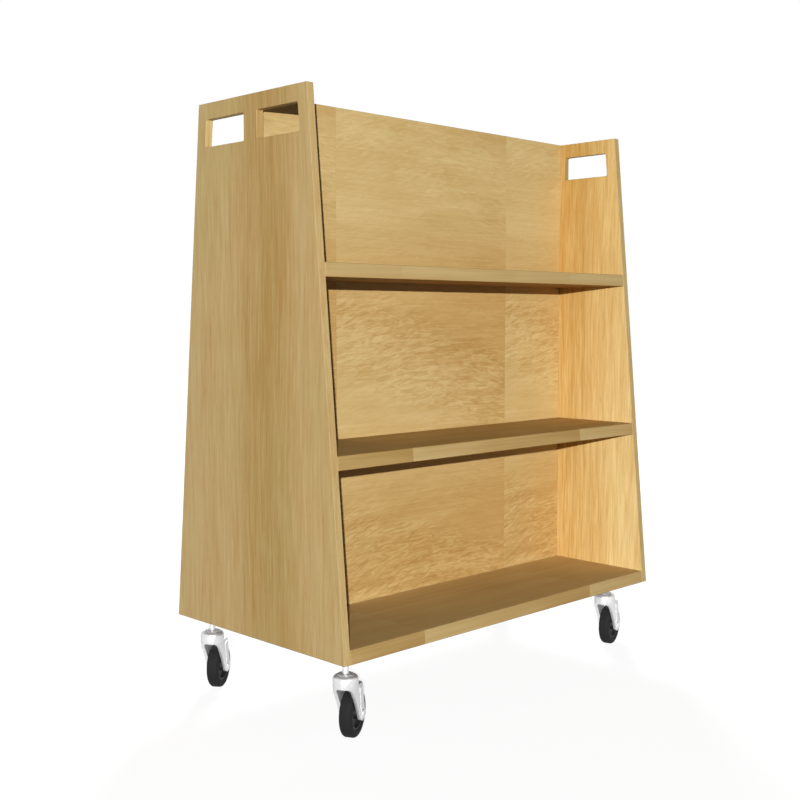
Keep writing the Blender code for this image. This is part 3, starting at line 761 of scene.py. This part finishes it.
def tyre_mesh():
    """Tyre with a rounded shoulder on each side and a fine mould line round the tread."""
    shoulder = (WHEEL_RADIUS - TREAD_SHOULDER, WHEEL_HALF - TREAD_SHOULDER)
    half = [(TYRE_INNER, WHEEL_HALF - TYRE_LIP_DROP), (TYRE_INNER + TYRE_LIP_WIDTH, WHEEL_HALF)]
    half += arc(shoulder, TREAD_SHOULDER, math.pi / 2, 0, TREAD_POINTS)
    half += [(WHEEL_RADIUS, MOULD_LINE_HALF), (WHEEL_RADIUS - MOULD_LINE_DEPTH, MOULD_LINE_FLOOR)]
    return turned("tyre", mirrored(half), True)


def caster_place(name):
    """Under a caster's stem, on the floor, turned the way that its fork points."""
    stem = Vector(JOINTS[f"{name}_swivel"]["pos_m"])
    axle = Vector(JOINTS[f"{name}_wheel"]["pos_m"])
    heading = math.atan2(axle.y - stem.y, axle.x - stem.x)
    return Matrix.Translation((stem.x, stem.y, 0)) @ Matrix.Rotation(heading, 4, "Z")


def place_casters(finishes):
    """Four casters, each piece on the body that it moves with, in place of the coarser solids."""
    upright = Matrix.Identity(4)
    shapes = (
        ("stem_insert", insert_mesh(), "insert_plating", "frame", upright),
        ("caster_stem", stem_mesh(), "caster_zinc", "frame", upright),
        ("swivel_bush", bush_mesh(), "bush_steel", "swivel", upright),
        ("caster_fork", fork_mesh(), "caster_zinc", "swivel", upright),
        ("wheel_axle", axle_mesh(), "caster_zinc", "swivel", ON_AXLE),
        ("wheel_hub", hub_mesh(), "hub_plastic", "wheel", ON_AXLE),
        ("tyre", tyre_mesh(), "tyre_rubber", "wheel", ON_AXLE),
    )
    for name in CASTERS:
        place = caster_place(name)
        for kind, mesh, finish, body, stands in shapes:
            piece = added(f"{name}_{kind}_fine", mesh.copy())
            piece.data.materials.append(finishes[finish])
            piece.matrix_world = place @ stands
            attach(piece, body if body == "frame" else f"{name}_{body}")
            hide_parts(f"{name}_{kind}")


def seen_directly(tree):
    """One for rays from the camera and for rays that gloss or glass sends on, else zero."""
    path = tree.nodes.new("ShaderNodeLightPath")
    share = path.outputs["Is Camera Ray"]
    for name in ("Is Glossy Ray", "Is Transmission Ray"):
        either = tree.nodes.new("ShaderNodeMath")
        either.operation = "MAXIMUM"
        tree.links.new(share, either.inputs[0])
        tree.links.new(path.outputs[name], either.inputs[1])
        share = either.outputs[0]
    return share


def make_floor():
    """A plain white floor that keeps the trolley's shadow."""
    graph = Graph("white_floor")
    away = graph.add("VectorMath", {0: graph.coordinates["Object"]}, operation="LENGTH").outputs["Value"]
    white = graph.spread(away, FLOOR_NEAR, FLOOR_FAR, FLOOR_WHITE_NEAR, FLOOR_WHITE_FAR)
    graph.shade(
        Base_Color=(FLOOR_COLOUR, FLOOR_COLOUR, FLOOR_COLOUR, 1.0),
        Roughness=1.0,
        Specular_IOR_Level=0.0,
        Emission_Color=WHITE,
        Emission_Strength=graph.math("MULTIPLY", seen_directly(graph.tree), white),
    )
    reach = FLOOR_REACH
    corners = [(-reach, -reach, 0), (reach, -reach, 0), (reach, reach, 0), (-reach, reach, 0)]
    mesh = bpy.data.meshes.new("floor")
    mesh.from_pydata(corners, [], [(0, 1, 2, 3)])
    mesh.materials.append(graph.material)
    floor = added("floor", mesh)
    floor.location.z = FLOOR_LEVEL


def make_world():
    """White all round for the eye and for gloss, and a low even light for the rest."""
    world = bpy.data.worlds.new("studio")
    world.use_nodes = True
    tree = world.node_tree
    background = tree.nodes["Background"]
    background.inputs["Color"].default_value = WHITE
    level = tree.nodes.new("ShaderNodeMapRange")
    level.inputs["To Min"].default_value = AMBIENT
    level.inputs["To Max"].default_value = 1.0
    tree.links.new(seen_directly(tree), level.inputs["Value"])
    tree.links.new(level.outputs[0], background.inputs["Strength"])
    bpy.context.scene.world = world


def make_lamp(name, place, power, radius):
    """A round lamp whose light doesn't fade with distance, as from a far larger room."""
    lamp = bpy.data.lights.new(name, "POINT")
    lamp.energy = power
    lamp.shadow_soft_size = radius
    lamp.use_nodes = True
    tree = lamp.node_tree
    steady = tree.nodes.new("ShaderNodeLightFalloff")
    steady.inputs["Strength"].default_value = 1.0
    tree.links.new(steady.outputs["Constant"], tree.nodes["Emission"].inputs["Strength"])
    added(name, lamp).location = place


def make_camera():
    """The camera, from the front left and a little above the middle."""
    level = math.cos(CAMERA_PITCH)
    forward = Vector((math.sin(CAMERA_YAW) * level, math.cos(CAMERA_YAW) * level, -math.sin(CAMERA_PITCH)))
    right = forward.cross(Vector((0, 0, 1))).normalized()
    up = right.cross(forward)
    data = bpy.data.cameras.new("camera")
    data.sensor_width = SENSOR_WIDTH
    data.lens = LENS
    camera = added("camera", data)
    aim = Matrix((right, up, -forward)).transposed().to_4x4()
    camera.matrix_world = Matrix.Translation(CAMERA_PLACE) @ aim
    bpy.context.scene.camera = camera


place_casters(finish_nodes())
make_floor()
make_world()
make_lamp("key_lamp", KEY_PLACE, KEY_POWER, KEY_RADIUS)
make_lamp("back_lamp", BACK_PLACE, BACK_POWER, BACK_RADIUS)
make_camera()
bpy.context.scene.view_settings.view_transform = "Standard"
